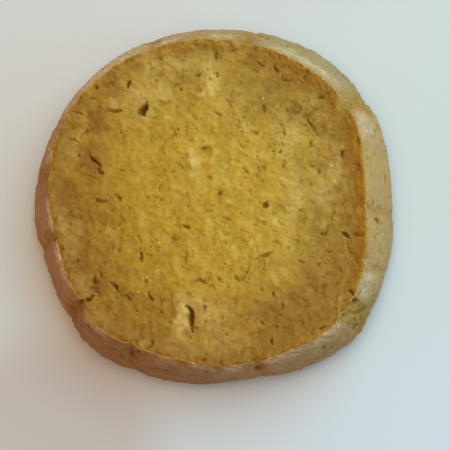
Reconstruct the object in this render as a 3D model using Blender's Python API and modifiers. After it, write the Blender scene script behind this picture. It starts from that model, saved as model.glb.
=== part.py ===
"""A diamond cookie: one slice of a sugar-rolled butter-dough log, baked flat on a tray.

The slice is a single solid, in metres. Z is up, the tray side lies on Z = 0, and the origin is under
the middle of the slice. Its wall flares out to the foot, its rim stands a little above the face, and
the sugared wall has split where the log was pressed by hand.
"""

import math
import random

import bmesh
import bpy
import numpy as np
from mathutils import Vector, noise

MM = 0.001

# Driving dimensions of the slice
FACE_HEIGHT = 9.8 * MM
RIM_RISE = 0.6 * MM
RIM_WIDTH = 2.8 * MM
RIM_ROUND = 0.55 * MM
TOP_RADIUS = 21.2 * MM
FOOT_RADIUS = 23.8 * MM
FOOT_HEIGHT = 2.8 * MM
FOOT_TUCK = 1.6 * MM
RIM_HEIGHT = FACE_HEIGHT + RIM_RISE

# The slice leaned a little as it was cut, so the middle of its rim isn't over the middle of its foot
TOP_LEAN = Vector((0.24, -0.36, 0)) * MM

# Outline of the hand-pressed log: angle in degrees, radius of the rim and of the foot in mm
OUTLINE = (
    (0, 20.3, 23.4),
    (14, 20.9, 23.8),
    (27, 21.9, 24.5),
    (46, 21.8, 24.2),
    (73, 20.9, 23.6),
    (90, 21.0, 23.2),
    (110, 21.4, 23.2),
    (128, 21.4, 23.8),
    (145, 21.5, 23.6),
    (160, 20.9, 23.6),
    (180, 20.5, 23.7),
    (196, 20.1, 23.3),
    (209, 20.1, 23.5),
    (226, 21.1, 24.1),
    (242, 20.4, 23.4),
    (262, 20.2, 23.0),
    (281, 21.1, 22.8),
    (300, 22.0, 24.3),
    (318, 23.4, 25.6),
    (334, 22.3, 24.7),
    (347, 20.9, 24.1),
)
CORNER_SOFTNESS = 6.0

# Splits in the sugared wall: angle and width in degrees, depth in mm
SPLITS = (
    (34, 6.0, 0.60),
    (75, 3.5, 0.50),
    (110, 3.5, 0.40),
    (150, 3.0, 0.25),
    (192, 3.0, 0.40),
    (216, 4.5, 0.70),
    (243, 3.0, 0.50),
    (285, 4.0, 0.50),
    (324, 7.0, 0.60),
    (339, 2.5, 0.30),
    (357, 2.5, 0.35),
)

# Open cracks in the face: x and y of the middle, length and half width in mm, and direction in degrees
CRACKS = (
    (-1.4, -15.0, 3.0, 0.32, 95),
    (-13.7, 5.2, 3.6, 0.24, 125),
    (-11.7, 11.9, 2.0, 0.20, 178),
    (13.8, 9.2, 3.0, 0.24, 122),
    (17.1, -5.3, 4.6, 0.24, 176),
    (15.1, -4.0, 2.6, 0.18, 70),
    (-12.4, 0.5, 3.2, 0.20, 172),
    (-8.0, -7.0, 2.0, 0.24, 95),
    (-3.0, -3.6, 1.6, 0.18, 130),
    (7.3, -8.6, 2.6, 0.24, 38),
    (-16.9, -11.5, 3.0, 0.26, 38),
    (-8.6, -17.2, 3.2, 0.24, 58),
    (2.4, 18.6, 2.4, 0.20, 100),
    (11.2, -15.6, 2.2, 0.18, 60),
    (9.6, 15.9, 1.8, 0.18, 120),
    (-16.3, 9.8, 2.0, 0.16, 60),
)
CRACK_POINTS = 5
CRACK_WANDER = 0.07
CRACK_DEPTH_PER_WIDTH = 3.0

# Pits in the face: x, y, half width and half length in mm, and the turn of the length from Y in degrees
PITS = (
    (-7.6, 12.0, 0.55, 0.85, -25),
    (-9.8, 15.4, 0.25, 0.55, -20),
    (-11.1, 0.4, 0.34, 0.42, 60),
    (-1.0, 16.3, 0.24, 0.32, 30),
    (2.0, 15.2, 0.28, 0.50, -55),
    (0.4, 6.4, 0.55, 0.75, -40),
    (8.1, -1.0, 0.30, 0.45, -20),
    (-2.7, 14.4, 0.22, 0.34, 40),
    (2.1, 0.8, 0.22, 0.50, -35),
    (19.3, -5.2, 0.40, 0.44, 0),
    (7.0, -8.4, 0.90, 1.40, -50),
    (14.6, 8.0, 0.26, 0.44, 20),
    (-16.9, 9.6, 0.26, 0.30, 0),
    (6.0, 9.8, 0.24, 0.40, 10),
)
PIT_DEPTH_PER_WIDTH = 1.3

# Crumb of the face: size of its plates, depth of the furrows between them, and the finer crumb on top
PLATE_SIZE = 2.1 * MM
FURROW_DEPTH = 0.20 * MM
CRUMB_SIZE = 1.3 * MM
CRUMB_RELIEF = 0.13 * MM
SWELL_SIZE = 7.0 * MM
SWELL_RELIEF = 0.18 * MM

# Sugar on the wall, too fine to stand alone: size and height of its bumps
SUGAR_SIZE = 0.95 * MM
SUGAR_RELIEF = 0.22 * MM
TORN_RELIEF = 0.35 * MM

# How finely the solid is made
TURN_STEPS = 120
REMESH_CELL = 0.32 * MM
BODY_TRIANGLES = 10000
MERGE = 0.01 * MM
CRACK_SEED = 5


def clear_scene():
    for old in list(bpy.data.objects):
        bpy.data.objects.remove(old)


def new_collection(name):
    collection = bpy.data.collections.new(name)
    bpy.context.scene.collection.children.link(collection)
    return collection


def remove_all(collection):
    for obj in list(collection.objects):
        bpy.data.objects.remove(obj)
    bpy.data.collections.remove(collection)


def evaluated_mesh(obj):
    """A mesh of the object with its modifiers applied."""
    graph = bpy.context.evaluated_depsgraph_get()
    return bpy.data.meshes.new_from_object(obj.evaluated_get(graph))


def apply_modifiers(obj):
    baked = evaluated_mesh(obj)
    obj.modifiers.clear()
    obj.data = baked


def between(low, high, value):
    """Share of the way from low to high, kept within 0 and 1 and eased at both ends."""
    share = min(max((value - low) / (high - low), 0.0), 1.0)
    return share * share * (3 - 2 * share)


def wall_point(share):
    """Radius and height of the wall at a share of the way from rim to foot: a slight belly."""
    flare = 0.55 * share + 0.45 * math.sin(math.pi / 2 * share)
    radius = TOP_RADIUS + (FOOT_RADIUS - TOP_RADIUS) * flare
    return float(radius), float(RIM_HEIGHT + (FOOT_HEIGHT - RIM_HEIGHT) * share)


def slice_profile():
    """Half section of the slice from the middle of its face round to its tray side."""
    face = [
        (0.0, FACE_HEIGHT),
        (TOP_RADIUS - RIM_WIDTH, FACE_HEIGHT),
        (TOP_RADIUS - 0.62 * RIM_WIDTH, FACE_HEIGHT + 0.25 * RIM_RISE),
    ]
    rim = [
        (TOP_RADIUS - 0.38 * RIM_WIDTH, FACE_HEIGHT + 0.80 * RIM_RISE),
        (TOP_RADIUS - 0.95 * RIM_ROUND, RIM_HEIGHT),
        (TOP_RADIUS - 0.25 * RIM_ROUND, RIM_HEIGHT - 0.35 * RIM_ROUND),
        (TOP_RADIUS + 0.15 * RIM_ROUND, RIM_HEIGHT - 1.2 * RIM_ROUND),
    ]
    wall = [wall_point(share) for share in np.linspace(0.2, 0.85, 5)]
    foot = [
        (FOOT_RADIUS, FOOT_HEIGHT),
        (FOOT_RADIUS - 0.2 * FOOT_TUCK, 0.4 * FOOT_HEIGHT),
        (FOOT_RADIUS - 0.55 * FOOT_TUCK, 0.12 * FOOT_HEIGHT),
        (FOOT_RADIUS - FOOT_TUCK, 0.0),
        (0.0, 0.0),
    ]
    return [*face, *rim, *wall, *foot]


def turned_slice(collection):
    """The slice as a turned shape, before it is pressed to its outline."""
    bm = bmesh.new()
    corners = [bm.verts.new((radius, 0, height)) for radius, height in slice_profile()]
    for start, end in zip(corners, corners[1:]):
        bm.edges.new((start, end))
    mesh = bpy.data.meshes.new("cookie")
    bm.to_mesh(mesh)
    bm.free()
    cookie = bpy.data.objects.new("cookie", mesh)
    collection.objects.link(cookie)
    screw = cookie.modifiers.new("turn", "SCREW")
    screw.steps = TURN_STEPS
    screw.render_steps = TURN_STEPS
    screw.use_merge_vertices = True
    screw.merge_threshold = MERGE
    apply_modifiers(cookie)
    return cookie


def outline_radius(angle, column):
    """Radius of the rim (column 1) or the foot (column 2) at an angle in degrees, with soft corners."""
    angles = [row[0] for row in OUTLINE]
    radii = [row[column] for row in OUTLINE]
    around = angle + np.linspace(-CORNER_SOFTNESS, CORNER_SOFTNESS, 7)
    return float(np.interp(around, angles, radii, period=360).mean()) * MM


def press_to_outline(mesh):
    """Moves the turned shape's points out to the log's outline, from the foot up to the rim."""
    for vertex in mesh.vertices:
        x, y, z = vertex.co
        angle = math.degrees(math.atan2(y, x))
        rise = min(max((z - FOOT_HEIGHT) / (RIM_HEIGHT - FOOT_HEIGHT), 0), 1)
        at_rim = outline_radius(angle, 1) / TOP_RADIUS
        at_foot = outline_radius(angle, 2) / FOOT_RADIUS
        stretch = at_foot + (at_rim - at_foot) * rise
        vertex.co = Vector((x * stretch, y * stretch, z)) + TOP_LEAN * rise


def furrow_share(point):
    """1 along the broken lines between plates of crumb, 0 on the plates."""
    bend = noise.noise_vector(point / (1.8 * MM)) * 0.45
    nearest, second = noise.voronoi(point / PLATE_SIZE + bend)[0][:2]
    open_here = between(-0.15, 0.35, noise.noise(point / (4.5 * MM) + Vector((3.1, 0.4, 7.7))))
    return open_here * (1 - between(0.0, 0.34, second - nearest))


def face_relief(point):
    """Height of the crumb on the face at a point, in metres."""
    crumb = noise.turbulence(point / CRUMB_SIZE, 3, False, amplitude_scale=0.6) - 0.6
    return CRUMB_RELIEF * crumb - FURROW_DEPTH * furrow_share(point)


def wall_relief(point):
    """Height of the sugar on the wall at a point, in metres."""
    nearest = noise.voronoi(point / SUGAR_SIZE)[0][0]
    patch = 0.6 + 0.4 * noise.noise(point / (3.2 * MM))
    return SUGAR_RELIEF * patch * (1.0 - 1.6 * nearest)


def split_depth(angle, height):
    """How deep the wall is split at this place, in metres, wandering a little with height."""
    wander = 2.6 * noise.noise(Vector((angle * 0.05, height / (2.4 * MM), 4.2)))
    fade = 0.3 + 0.7 * between(FOOT_HEIGHT, 0.8 * RIM_HEIGHT, height)
    depths = []
    for middle, width, depth in SPLITS:
        turn = (angle + wander - middle + 180) % 360 - 180
        depths.append(depth * MM * math.exp(-((2 * turn / width) ** 2)))
    return max(depths) * fade


def roughen(mesh):
    """Gives the face its crumb and the wall its sugar and splits, and keeps the tray side flat."""
    smooth = [(vertex.co.copy(), vertex.normal.copy()) for vertex in mesh.vertices]
    for vertex, (point, normal) in zip(mesh.vertices, smooth):
        if point.z < 0.1 * MM:
            vertex.co.z = 0.0
            continue
        above_tray = between(0.0, 1.5 * MM, point.z)
        on_face = between(0.55, 0.9, normal.z)
        relief = face_relief(point) * on_face + wall_relief(point) * (1 - on_face)
        swell = SWELL_RELIEF * noise.noise(point / SWELL_SIZE)
        moved = normal * (relief + swell) * above_tray

        outward = Vector((point.x, point.y, 0))
        near_wall = between(0.80 * TOP_RADIUS, 0.95 * TOP_RADIUS, outward.length)
        angle = math.degrees(math.atan2(point.y, point.x))
        depth = split_depth(angle, point.z) * near_wall * above_tray
        torn = TORN_RELIEF * noise.noise(point / (0.9 * MM)) * min(1, depth / (0.3 * MM))
        moved -= outward.normalized() * (depth - torn)
        moved.z -= 0.8 * depth * max(normal.z, 0)
        vertex.co = point + moved
        vertex.co.z = max(vertex.co.z, 0.02 * MM)


def make_body(cookie):
    """Evens out the mesh, roughens it, and thins it where it is flat."""
    remesh = cookie.modifiers.new("even", "REMESH")
    remesh.mode = "VOXEL"
    remesh.voxel_size = REMESH_CELL
    apply_modifiers(cookie)
    roughen(cookie.data)
    thin = cookie.modifiers.new("thin", "DECIMATE")
    thin.ratio = BODY_TRIANGLES / (2 * len(cookie.data.polygons))
    apply_modifiers(cookie)


def crack_path(x, y, length, direction, draw):
    """Points along a crack, which wanders to either side of its direction."""
    along = Vector((math.cos(math.radians(direction)), math.sin(math.radians(direction))))
    across = Vector((-along.y, along.x))
    steps = np.linspace(-0.5, 0.5, CRACK_POINTS)
    return [
        Vector((x, y)) + along * length * step + across * length * draw.uniform(-1, 1) * CRACK_WANDER
        for step in steps
    ]


def wedge_section():
    """The V that a crack cuts, one unit wide to either side, as a closed flat curve."""
    curve = bpy.data.curves.new("wedge_section", "CURVE")
    curve.dimensions = "2D"
    spline = curve.splines.new("POLY")
    spline.points.add(2)
    spline.use_cyclic_u = True
    corners = ((-1.0, 0.8), (0.0, -CRACK_DEPTH_PER_WIDTH), (1.0, 0.8))
    for point, (across, up) in zip(spline.points, corners):
        point.co = (across, up, 0, 1)
    return bpy.data.objects.new("wedge_section", curve)


def crack_cutter(number, path, half_width, section, cutters):
    """A wedge along the crack, widest at its middle, with its keel down in the dough."""
    curve = bpy.data.curves.new(f"crack_{number}", "CURVE")
    curve.dimensions = "3D"
    curve.twist_mode = "Z_UP"
    curve.bevel_mode = "OBJECT"
    curve.bevel_object = section
    curve.use_fill_caps = True
    spline = curve.splines.new("POLY")
    spline.points.add(len(path) - 1)
    for step, (point, place) in enumerate(zip(spline.points, path)):
        share = step / (len(path) - 1)
        point.co = (place.x * MM, place.y * MM, FACE_HEIGHT, 1)
        point.radius = half_width * MM * (0.4 + 0.6 * math.sin(math.pi * share))
    guide = bpy.data.objects.new(f"crack_{number}", curve)
    cutters.objects.link(guide)

    bm = bmesh.new()
    bm.from_mesh(evaluated_mesh(guide))
    bmesh.ops.remove_doubles(bm, verts=bm.verts, dist=0.001 * MM)
    bmesh.ops.recalc_face_normals(bm, faces=bm.faces)
    mesh = bpy.data.meshes.new(f"crack_{number}")
    bm.to_mesh(mesh)
    bm.free()
    cutter = bpy.data.objects.new(f"crack_wedge_{number}", mesh)
    cutter.matrix_world = guide.matrix_world
    cutters.objects.link(cutter)
    bpy.data.objects.remove(guide)


def pit_cutter(number, x, y, half_width, half_length, turn, cutters):
    """A torn, bowl-shaped lump that leaves a pit."""
    bm = bmesh.new()
    bmesh.ops.create_icosphere(bm, subdivisions=1, radius=1)
    reach = Vector((half_width, half_length, half_width * PIT_DEPTH_PER_WIDTH)) * MM
    for vertex in bm.verts:
        torn = 1 + 0.35 * noise.noise(vertex.co * 1.7 + Vector((number, 0, 0)))
        vertex.co = vertex.co * reach * torn
    mesh = bpy.data.meshes.new(f"pit_{number}")
    bm.to_mesh(mesh)
    bm.free()
    cutter = bpy.data.objects.new(f"pit_{number}", mesh)
    cutter.location = (x * MM, y * MM, FACE_HEIGHT + 0.1 * half_width * MM)
    cutter.rotation_euler.z = math.radians(turn)
    cutters.objects.link(cutter)


def open_face(cookie, cutters):
    """Opens the cracks and pits in the face."""
    draw = random.Random(CRACK_SEED)
    section = wedge_section()
    cutters.objects.link(section)
    for number, (x, y, length, half_width, direction) in enumerate(CRACKS):
        path = crack_path(x, y, length, direction, draw)
        crack_cutter(number, path, half_width, section, cutters)
    bpy.data.objects.remove(section)
    for number, pit in enumerate(PITS):
        pit_cutter(number, *pit, cutters)
    for cutter in cutters.objects:
        cutter.hide_render = True
        cutter.display_type = "WIRE"
    boolean = cookie.modifiers.new("open", "BOOLEAN")
    boolean.operation = "DIFFERENCE"
    boolean.operand_type = "COLLECTION"
    boolean.collection = cutters
    boolean.solver = "EXACT"
    apply_modifiers(cookie)


def keep_main_piece(mesh):
    """Drops any sliver that the cuts left loose."""
    bm = bmesh.new()
    bm.from_mesh(mesh)
    waiting = set(bm.faces)
    pieces = []
    while waiting:
        piece = {waiting.pop()}
        front = list(piece)
        while front:
            face = front.pop()
            touching = {other for edge in face.edges for other in edge.link_faces} & waiting
            waiting -= touching
            piece |= touching
            front.extend(touching)
        pieces.append(piece)
    pieces.sort(key=len)
    loose = [face for piece in pieces[:-1] for face in piece]
    bmesh.ops.delete(bm, geom=loose, context="FACES")
    bm.to_mesh(mesh)
    bm.free()


def centre_on_tray(mesh):
    """Puts the origin under the middle of the slice's box, on the tray side."""
    points = np.array([vertex.co for vertex in mesh.vertices])
    low, high = points.min(axis=0), points.max(axis=0)
    middle = (low + high) / 2
    for vertex in mesh.vertices:
        vertex.co -= Vector((middle[0], middle[1], low[2]))


def baked_dough():
    material = bpy.data.materials.new("baked_dough")
    material.use_nodes = True
    shader = material.node_tree.nodes["Principled BSDF"]
    shader.inputs["Base Color"].default_value = (0.48, 0.27, 0.075, 1)
    shader.inputs["Roughness"].default_value = 0.72
    shader.inputs["Metallic"].default_value = 0.0
    return material


def main():
    clear_scene()
    parts = new_collection("diamond_cookie")
    cutters = new_collection("cutters")
    cookie = turned_slice(parts)
    press_to_outline(cookie.data)
    make_body(cookie)
    open_face(cookie, cutters)
    remove_all(cutters)
    keep_main_piece(cookie.data)
    centre_on_tray(cookie.data)
    cookie.data.materials.clear()
    cookie.data.materials.append(baked_dough())
    cookie.data.shade_flat()


main()
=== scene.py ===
"""Diamond cookie: a thick slice of butter dough with a browned, crumbly face and a sugared wall."""

import math

import bpy
import numpy as np
from mathutils import Matrix, Vector, noise


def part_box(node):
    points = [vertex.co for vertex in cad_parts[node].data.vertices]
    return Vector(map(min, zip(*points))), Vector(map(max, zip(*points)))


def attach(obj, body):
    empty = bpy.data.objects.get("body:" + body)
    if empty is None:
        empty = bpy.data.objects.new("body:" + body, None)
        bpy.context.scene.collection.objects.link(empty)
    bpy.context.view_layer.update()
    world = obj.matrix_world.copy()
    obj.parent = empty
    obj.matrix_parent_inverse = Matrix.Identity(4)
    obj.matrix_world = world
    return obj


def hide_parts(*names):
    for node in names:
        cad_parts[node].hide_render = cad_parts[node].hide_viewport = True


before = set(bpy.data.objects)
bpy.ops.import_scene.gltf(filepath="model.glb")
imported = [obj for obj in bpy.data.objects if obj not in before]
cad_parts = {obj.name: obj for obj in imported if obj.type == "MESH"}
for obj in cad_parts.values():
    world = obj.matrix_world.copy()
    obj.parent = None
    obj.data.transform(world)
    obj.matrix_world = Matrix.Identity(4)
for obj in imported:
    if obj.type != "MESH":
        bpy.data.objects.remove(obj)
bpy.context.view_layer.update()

MM = 0.001

# The slice, in millimetres: the sizes of its solid, with a sharper rim and an outline of its own
FACE_HEIGHT = 9.8
RIM_RISE = 0.6
RIM_WIDTH = 2.8
RIM_ROUND = 0.32
TOP_RADIUS = 21.2
FOOT_RADIUS = 23.8
FOOT_HEIGHT = 2.8
FOOT_TUCK = 1.6
RIM_HEIGHT = FACE_HEIGHT + RIM_RISE
TOP_LEAN = (0.24, -0.36)

# The outline: angle in degrees, radius at the rim and at the foot
OUTLINE = (
    (0, 20.75, 23.4),
    (14, 21.15, 23.8),
    (27, 22.3, 24.45),
    (46, 22.15, 24.5),
    (73, 21.55, 23.75),
    (90, 21.5, 23.6),
    (110, 21.7, 23.6),
    (128, 21.8, 23.9),
    (145, 22.0, 23.75),
    (160, 21.55, 23.9),
    (180, 20.4, 24.0),
    (196, 20.0, 23.6),
    (209, 20.1, 23.5),
    (226, 21.35, 24.5),
    (242, 20.5, 23.85),
    (262, 20.2, 23.25),
    (281, 21.2, 22.7),
    (300, 21.9, 24.2),
    (318, 23.2, 25.7),
    (334, 22.5, 24.5),
    (347, 21.5, 24.1),
)
CORNER_SOFTNESS = 6.0

# How the rim looks going round: angle, browning inside it (next to the rim also painted shade of the lip's
# inner slope), its orange line of caramel that also paints the lip's shade, the sugar on the wall below it, and
# how much painted shade darkens that wall
BAKE = (
    (0, 0.95, 1.0, 0.85, 0.1),
    (12, 0.95, 1.0, 0.93, 0.0),
    (22, 0.95, 0.9, 1.00, 0.0),
    (34, 0.85, 0.5, 0.95, 0.3),
    (46, 1.08, 0.6, 0.95, 1.0),
    (62, 1.00, 0.5, 0.95, 1.0),
    (73, 0.72, 0.4, 0.90, 0.9),
    (84, 0.52, 0.2, 0.90, 0.5),
    (100, 0.66, 0.5, 0.80, 0.3),
    (118, 0.52, 0.2, 0.85, 0.2),
    (134, 0.52, 0.1, 0.85, 0.1),
    (150, 0.54, 0.0, 0.55, 0.1),
    (180, 0.76, 0.0, 0.34, 0.0),
    (190, 0.78, 0.0, 0.42, 0.0),
    (200, 0.78, 0.0, 0.25, 0.0),
    (214, 0.80, 0.1, 0.25, 0.0),
    (230, 0.75, 0.0, 0.06, 0.5),
    (245, 0.68, 0.0, 0.14, 0.7),
    (262, 0.75, 0.0, 0.20, 0.8),
    (285, 0.80, 0.1, 0.50, 0.8),
    (300, 1.20, 0.15, 0.65, 0.8),
    (315, 1.05, 0.15, 0.80, 0.7),
    (330, 1.00, 0.6, 0.90, 0.8),
    (345, 1.00, 1.0, 0.98, 0.1),
)

# Pale ridges of sugar along the rim: middle and half length in degrees, strength, distance outside the rim's
# own radius in mm and half width in mm
FROST_RIDGES = (
    (27, 4, 0.70, 0.8, 0.7),
    (55, 13, 0.75, 0.6, 0.45),
    (84, 5, 0.50, 0.5, 0.40),
    (104, 5, 0.70, 0.3, 0.45),
    (124, 14, 0.72, 0.6, 0.80),
    (144, 5, 0.50, 0.4, 0.40),
    (163, 4, 0.50, 0.3, 0.40),
    (184, 6, 0.95, 0.2, 0.32),
    (203, 8, 0.90, 0.2, 0.36),
    (227, 6, 0.60, 0.2, 0.36),
    (255, 4, 0.40, 0.2, 0.32),
    (268, 4, 0.55, 0.2, 0.36),
    (279, 3, 0.70, 0.2, 0.36),
    (299, 7, 0.55, 0.2, 0.34),
    (310, 2, 0.90, 0.2, 0.45),
    (316, 3, 1.00, 0.2, 0.55),
    (332.5, 5, 1.00, 0.5, 0.60),
)

# Splits in the sugared wall: angle and width in degrees, depth in mm, how bare of sugar, how browned inside
SPLITS = (
    (34, 6.0, 0.22, 0.8, 0.40),
    (76, 4.0, 0.35, 0.8, 0.25),
    (110, 3.5, 0.30, 0.5, 0.0),
    (150, 3.0, 0.25, 0.3, 0.5),
    (169, 5.0, 0.10, 0.5, 1.0),
    (191, 3.0, 0.25, 0.5, 0.7),
    (217, 4.5, 0.45, 0.9, 0.6),
    (243, 3.0, 0.45, 0.5, 0.7),
    (287, 3.5, 0.40, 0.7, 0.3),
    (323.5, 7.0, 0.30, 0.9, 0.35),
    (339, 2.5, 0.20, 0.1, 0.0),
    (357, 2.5, 0.30, 0.2, 0.0),
)

# Open cracks in the face: half width and depth in mm, then the x and y of each corner
CRACKS = (
    (0.27, 1.3, (-2.3, -13.4), (-1.8, -13.6), (-1.4, -14.4), (-1.6, -15.1), (-1.5, -15.9), (-1.4, -16.6)),
    (0.15, 0.8, (-15.0, 6.6), (-14.6, 5.8), (-13.9, 5.3), (-13.4, 4.8)),
    (0.16, 0.8, (-13.7, 4.6), (-13.5, 4.1), (-13.1, 3.8)),
    (0.14, 0.7, (-12.4, 12.1), (-11.7, 11.9), (-10.8, 12.0)),
    (0.16, 0.5, (13.1, 10.9), (13.6, 9.9), (14.2, 9.0), (14.7, 8.3)),
    (0.13, 0.5, (14.7, -4.4), (15.7, -4.5), (15.8, -3.9), (16.1, -3.3)),
    (0.10, 0.4, (16.2, -3.0), (16.5, -2.3), (17.0, -1.4)),
    (0.12, 0.4, (17.5, -1.0), (18.4, -0.1)),
    (0.20, 0.8, (17.7, -4.3), (18.3, -4.5), (18.7, -5.0)),
    (0.13, 0.5, (19.3, -4.5), (20.3, -4.7)),
    (0.09, 0.4, (18.4, -5.2), (18.4, -5.8), (18.8, -6.7), (19.5, -7.2)),
    (0.15, 0.6, (18.4, -11.5), (19.3, -12.1), (20.0, -12.6)),
    (0.16, 0.4, (17.4, -8.6), (17.6, -9.4)),
    (0.09, 0.4, (15.4, -10.0), (16.1, -9.0)),
    (0.24, 0.8, (-15.8, -12.8), (-15.0, -12.5), (-14.5, -12.0)),
    (0.16, 0.6, (-6.6, -17.5), (-6.6, -18.2), (-7.2, -18.7)),
    (0.15, 0.6, (-7.8, -18.9), (-8.3, -19.4)),
    (0.15, 0.5, (-14.3, 0.4), (-13.8, 0.4), (-12.6, 0.2)),
    (0.16, 0.6, (-2.7, -3.1), (-2.2, -3.1), (-1.7, -3.5)),
    (0.15, 0.6, (-12.2, -10.1), (-11.6, -10.4), (-11.2, -11.1), (-10.9, -11.7)),
    (0.09, 0.4, (-10.9, -11.8), (-10.2, -11.9), (-9.6, -12.3), (-8.9, -12.8)),
    (0.10, 0.4, (-9.0, -13.3), (-8.3, -14.2)),
    (0.11, 0.4, (-7.5, -9.1), (-7.6, -10.5)),
    (0.16, 0.7, (-8.1, -6.3), (-8.2, -7.6)),
    (0.15, 0.6, (-7.2, -11.5), (-6.9, -12.2), (-6.6, -12.7)),
    (0.16, 0.6, (-14.2, -9.2), (-14.2, -10.5)),
    (0.12, 0.4, (-13.4, -8.7), (-13.2, -9.7)),
    (0.17, 0.5, (-1.3, -10.3), (-0.5, -10.0), (0.4, -10.5)),
    (0.11, 0.4, (1.7, -9.6), (2.4, -10.4)),
    (0.11, 0.4, (3.9, -9.6), (4.7, -10.3)),
    (0.20, 0.5, (7.1, -7.2), (8.1, -7.0), (8.8, -6.6)),
    (0.10, 0.4, (6.0, -8.2), (5.7, -9.0), (5.0, -10.0)),
    (0.12, 0.4, (7.8, -7.4), (7.9, -8.3), (7.5, -9.1)),
    (0.09, 0.4, (6.9, -5.8), (7.0, -6.6)),
    (0.15, 0.5, (-0.4, 6.8), (0.4, 7.1)),
    (0.16, 0.6, (1.6, 19.3), (1.7, 18.2)),
    (0.12, 0.5, (8.7, 19.1), (8.6, 18.2)),
    (0.10, 0.4, (7.1, 17.8), (7.8, 16.9)),
    (0.14, 0.5, (9.0, 17.5), (9.7, 16.3)),
    (0.12, 0.5, (10.1, 16.1), (10.2, 15.4), (11.5, 15.3)),
    (0.14, 0.5, (-1.3, 16.3), (-0.3, 16.4)),
    (0.15, 0.5, (7.7, 12.3), (7.9, 11.3)),
    (0.16, 0.7, (17.7, 6.2), (17.9, 5.1)),
    (0.11, 0.4, (14.8, 13.0), (15.6, 13.0)),
    (0.13, 0.5, (5.1, 4.2), (5.8, 3.5)),
    (0.12, 0.4, (0.3, 3.5), (1.1, 2.8)),
    (0.11, 0.4, (2.3, -2.0), (3.4, -2.3)),
    (0.14, 0.6, (8.7, -17.5), (8.9, -18.4)),
    (0.15, 0.5, (7.3, -15.3), (7.8, -16.1)),
    (0.15, 0.5, (14.8, -16.4), (15.8, -16.1)),
    (0.12, 0.4, (10.1, -13.0), (10.2, -14.1)),
    (0.10, 0.4, (13.1, -13.6), (13.8, -13.2)),
    (0.13, 0.5, (-17.2, 11.9), (-16.6, 11.9), (-15.8, 11.6)),
    (0.11, 0.4, (-14.9, 13.5), (-14.2, 13.8)),
    (0.11, 0.4, (-17.7, 8.4), (-16.8, 8.3), (-16.0, 7.7)),
    (0.12, 0.4, (-16.2, 8.3), (-15.9, 9.1), (-15.0, 9.5)),
    (0.11, 0.4, (-11.0, 4.3), (-10.3, 4.2)),
    (0.08, 0.3, (-5.8, 3.0), (-5.7, 2.0), (-5.9, 0.9)),
    (0.13, 0.5, (-3.6, 9.7), (-3.0, 9.2)),
    (0.13, 0.5, (1.3, 11.6), (2.3, 11.0)),
    (0.11, 0.4, (4.6, 7.4), (5.1, 6.9)),
    (0.10, 0.4, (12.2, -7.8), (13.0, -8.0)),
    (0.12, 0.4, (15.8, -6.6), (16.5, -6.6)),
)

# Pits in the face: x, y, half width, half length, depth in mm, and the turn of the length from Y
PITS = (
    (-7.9, 11.8, 0.40, 0.66, 1.4, -10),
    (-7.6, 12.3, 0.38, 0.40, 1.2, 0),
    (-7.4, 12.9, 0.14, 0.40, 0.9, -20),
    (-8.4, 11.8, 0.28, 0.32, 0.9, 0),
    (-9.8, 15.4, 0.22, 0.52, 0.8, -25),
    (-11.0, 0.6, 0.32, 0.36, 0.6, 30),
    (-11.4, 1.0, 0.18, 0.30, 0.4, 40),
    (2.1, 1.1, 0.20, 0.36, 0.6, -50),
    (8.0, -0.6, 0.36, 0.46, 0.8, -20),
    (9.9, 6.2, 0.24, 0.36, 0.5, -20),
    (10.5, 8.5, 0.20, 0.34, 0.4, 0),
    (6.8, 8.7, 0.42, 0.30, 0.3, 0),
    (-3.0, 14.6, 0.22, 0.30, 0.6, 40),
    (0.9, 15.8, 0.22, 0.16, 0.5, 0),
    (1.8, 16.3, 0.18, 0.30, 0.5, 0),
    (0.5, 17.1, 0.13, 0.18, 0.4, 0),
    (-16.4, 6.3, 0.24, 0.30, 0.5, 0),
    (-13.9, 15.0, 0.22, 0.28, 0.5, 30),
    (14.8, 3.5, 0.16, 0.30, 0.4, 0),
    (13.8, 7.2, 0.14, 0.36, 0.4, 0),
    (-14.0, 0.5, 0.17, 0.14, 0.5, 0),
    (0.3, -15.3, 0.22, 0.18, 0.5, 0),
    (2.5, -14.8, 0.18, 0.14, 0.4, 0),
    (0.1, -13.4, 0.20, 0.16, 0.4, 0),
    (-1.7, -17.4, 0.14, 0.14, 0.4, 0),
    (5.7, -10.0, 0.13, 0.13, 0.4, 0),
    (-16.4, -7.3, 0.18, 0.22, 0.5, 30),
    (-10.9, 9.2, 0.15, 0.18, 0.4, 0),
    (9.0, -11.9, 0.22, 0.18, 0.5, 0),
    (9.4, -16.1, 0.14, 0.14, 0.4, 0),
    (10.3, -16.2, 0.20, 0.14, 0.4, 0),
    (0.1, -20.2, 0.45, 0.25, 0.3, 0),
    (13.3, -6.8, 0.14, 0.14, 0.4, 0),
    (20.0, 7.3, 0.12, 0.30, 0.5, 0),
    (16.9, 13.6, 0.16, 0.14, 0.4, 0),
    (-13.5, -3.6, 0.20, 0.16, 0.3, 0),
    (-11.6, -3.3, 0.24, 0.16, 0.3, 0),
    (-11.9, -5.9, 0.20, 0.15, 0.3, 0),
    (-6.9, -5.7, 0.20, 0.15, 0.3, 0),
    (-5.7, -5.8, 0.14, 0.14, 0.3, 0),
)

# Pits in the wall: angle in degrees, then height, half width, half height and depth in mm
WALL_PITS = (
    (25, 8.0, 0.42, 0.30, 0.45),
    (192, 9.7, 0.35, 0.35, 0.35),
    (217, 9.5, 0.28, 0.70, 0.50),
    (222, 6.6, 0.28, 0.28, 0.40),
    (243, 7.3, 0.42, 0.60, 0.60),
    (245, 9.4, 0.30, 0.60, 0.55),
    (287, 7.6, 0.40, 0.40, 0.25),
    (320, 5.4, 0.60, 0.50, 0.55),
    (322, 7.1, 0.40, 0.55, 0.50),
    (325, 6.2, 0.35, 0.45, 0.50),
    (327, 8.9, 0.30, 0.80, 0.50),
    (344, 6.4, 0.38, 0.40, 0.45),
)

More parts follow.
